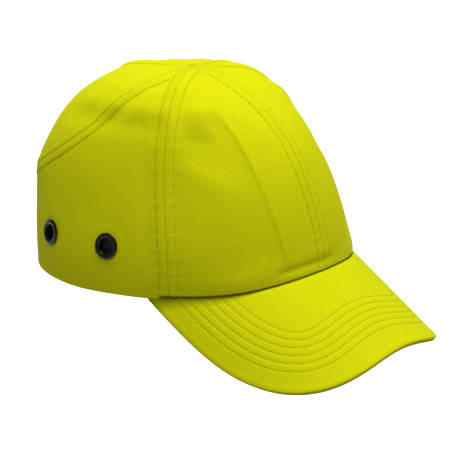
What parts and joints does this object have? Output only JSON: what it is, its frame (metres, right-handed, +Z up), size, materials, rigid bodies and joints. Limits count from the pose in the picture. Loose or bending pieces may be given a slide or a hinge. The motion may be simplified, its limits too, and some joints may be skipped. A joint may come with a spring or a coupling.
{
  "type": "bump cap",
  "caption": "Textile safety cap in high-visibility yellow twill with a curved stitched peak, side vent eyelets, a removable padded hard inner shell, and a rear strap with a clamp buckle.",
  "frame": {"origin": "middle of the head opening, level with the hem at the sides and rear", "axes": "+Z up as worn, -Y is where the peak points, -X is the wearer's right"},
  "size_m": [0.1954, 0.2796, 0.1769],
  "materials": {
    "yellow_twill": "matte woven twill, high-visibility yellow",
    "yellow_tape": "matte woven tape",
    "yellow_webbing": "matte woven strap",
    "blackened_metal": "blackened, satin",
    "board_plastic": "matte",
    "shell_abs": "fine-grained moulded",
    "eva_foam": "closed-cell foam",
    "black_towelling": "looped pile",
    "hook_and_loop": "matte",
    "buckle_plastic": "satin moulded",
    "steel_pin": "plain",
    "white_label": "satin ribbon, blank"
  },
  "bodies": {
    "textile_cap": {"arch_facing": "yellow_tape", "buckle_anchor_tab": "yellow_webbing", "buckle_frame": "buckle_plastic", "buckle_pin": "steel_pin", "care_label": "white_label", "eyelet_left_front": "blackened_metal", "eyelet_left_rear": "blackened_metal", "eyelet_right_front": "blackened_metal", "eyelet_right_rear": "blackened_metal", "eyelet_washer_left_front": "blackened_metal", "eyelet_washer_left_rear": "blackened_metal", "eyelet_washer_right_front": "blackened_metal", "eyelet_washer_right_rear": "blackened_metal", "front_panel_left": "yellow_twill", "front_panel_right": "yellow_twill", "hem_facing": "yellow_tape", "loop_patches": "hook_and_loop", "peak_board": "board_plastic", "peak_cover_top": "yellow_twill", "peak_cover_under": "yellow_twill", "rear_panel_left": "yellow_twill", "rear_panel_right": "yellow_twill", "seam_tape_front": "yellow_tape", "seam_tape_rear_centre": "yellow_tape", "seam_tape_rear_left": "yellow_tape", "seam_tape_rear_right": "yellow_tape", "seam_tape_side_left": "yellow_tape", "seam_tape_side_right": "yellow_tape", "side_panel_left": "yellow_twill", "side_panel_right": "yellow_twill", "strap_pocket_left": "yellow_tape", "strap_pocket_right": "yellow_tape"},
    "insert": {"crown_pad": "eva_foam", "front_pad": "eva_foam", "hook_patches": "hook_and_loop", "inner_shell": "shell_abs", "rear_pad": "eva_foam", "side_pad_left": "eva_foam", "side_pad_right": "eva_foam", "sweatband": "black_towelling"},
    "strap": {"adjuster_strap": "yellow_webbing"},
    "clamp": {"buckle_clamp": "buckle_plastic"}
  },
  "joints": [
    {"name": "insert_removal", "type": "slide", "parent": "textile_cap", "child": "insert", "axis": [0, 0, -1], "range_m": [0, 0.17]},
    {"name": "strap_adjust", "type": "hinge", "parent": "textile_cap", "child": "strap", "pos_m": [0, -0.021, 0.012], "axis": [0, 0, -1], "range_deg": [0, 14]},
    {"name": "buckle_clamp", "type": "hinge", "parent": "textile_cap", "child": "clamp", "pos_m": [0.02281, 0.10806, 0.012], "axis": [0, 0, 1], "range_deg": [0, 100]}
  ]
}
